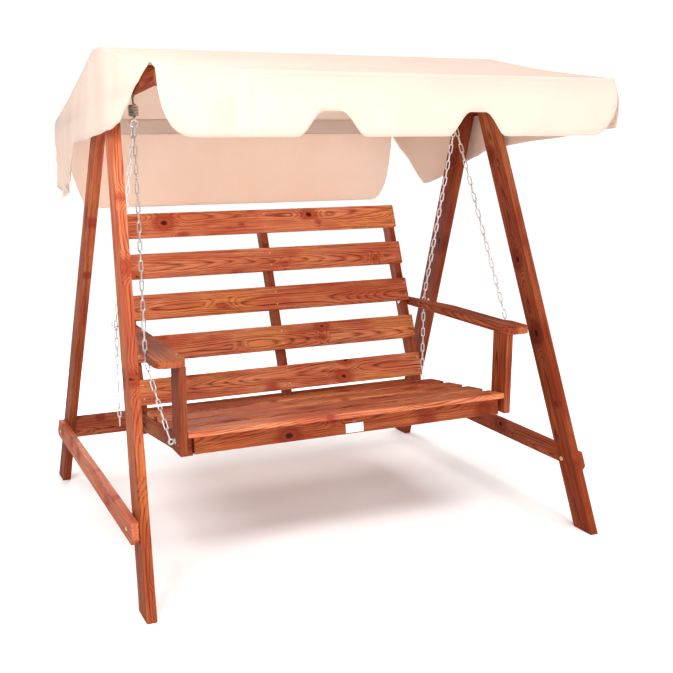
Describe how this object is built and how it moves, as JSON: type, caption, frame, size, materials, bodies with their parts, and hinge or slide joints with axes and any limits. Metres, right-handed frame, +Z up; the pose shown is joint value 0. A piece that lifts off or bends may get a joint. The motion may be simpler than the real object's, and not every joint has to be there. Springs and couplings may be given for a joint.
{
  "type": "canopy swing bench",
  "caption": "Slatted wooden garden bench hung on chains and springs from a beam between two leaning A-frames, under a tent-shaped fabric canopy with scalloped valance.",
  "frame": {"origin": "on the floor, midway between the four feet", "axes": "+Z up, +Y to the rear of the bench, +X to the sitter's left, along the bench"},
  "size_m": [1.8306, 1.5952, 1.829],
  "materials": {
    "stained_pine": "red-brown translucent stain on planed pine with strong grain and dark knots",
    "canvas": "matt cream plain-weave canopy fabric",
    "zinc_steel": "bright zinc-plated steel",
    "plate": "blank satin plate"
  },
  "bodies": {
    "frame": {"front_leg_left": "stained_pine", "front_leg_right": "stained_pine", "rear_leg_left": "stained_pine", "rear_leg_right": "stained_pine", "side_rail_left": "stained_pine", "side_rail_right": "stained_pine", "rear_stretcher": "stained_pine", "top_beam": "stained_pine", "canopy_arm_left": "stained_pine", "canopy_arm_right": "stained_pine", "canopy_front_bar": "stained_pine", "canopy_rear_bar": "stained_pine", "canopy_front_roof": "canvas", "canopy_rear_roof": "canvas", "canopy_front_valance": "canvas", "canopy_rear_valance": "canvas", "canopy_end_flap_left": "canvas", "canopy_end_flap_right": "canvas", "front_rail_bolt_left": "zinc_steel", "front_rail_bolt_right": "zinc_steel", "rear_rail_bolt_left": "zinc_steel", "rear_rail_bolt_right": "zinc_steel", "beam_eye_left": "zinc_steel", "beam_eye_right": "zinc_steel"},
    "hangers": {"spring_hook_left": "zinc_steel", "spring_hook_right": "zinc_steel", "coil_spring_left": "zinc_steel", "coil_spring_right": "zinc_steel"},
    "bench": {"back_slat_1": "stained_pine", "back_slat_2": "stained_pine", "back_slat_3": "stained_pine", "back_slat_4": "stained_pine", "back_slat_5": "stained_pine", "back_upright_left": "stained_pine", "back_upright_centre": "stained_pine", "back_upright_right": "stained_pine", "seat_slat_1": "stained_pine", "seat_slat_2": "stained_pine", "seat_slat_3": "stained_pine", "seat_slat_4": "stained_pine", "seat_bearer_left": "stained_pine", "seat_bearer_centre": "stained_pine", "seat_bearer_right": "stained_pine", "seat_apron": "stained_pine", "arm_post_left": "stained_pine", "arm_post_right": "stained_pine", "armrest_left": "stained_pine", "armrest_right": "stained_pine", "chain_ring_left": "zinc_steel", "chain_ring_right": "zinc_steel", "front_chain_left": "zinc_steel", "front_chain_right": "zinc_steel", "rear_chain_left": "zinc_steel", "rear_chain_right": "zinc_steel", "armrest_hook_left": "zinc_steel", "armrest_hook_right": "zinc_steel", "post_eye_left": "zinc_steel", "post_eye_right": "zinc_steel", "label_plate": "plate"}
  },
  "joints": [
    {"name": "swing", "type": "hinge", "parent": "frame", "child": "hangers", "pos_m": [0, 0, 1.67], "axis": [1, 0, 0], "range_deg": [-20, 20]},
    {"name": "bounce", "type": "slide", "parent": "hangers", "child": "bench", "axis": [0, 0, 1], "range_m": [-0.02, 0.005], "stiffness_N_per_m": 40000, "springref_m": 0.007, "deforming": ["coil_spring_left", "coil_spring_right"]}
  ]
}
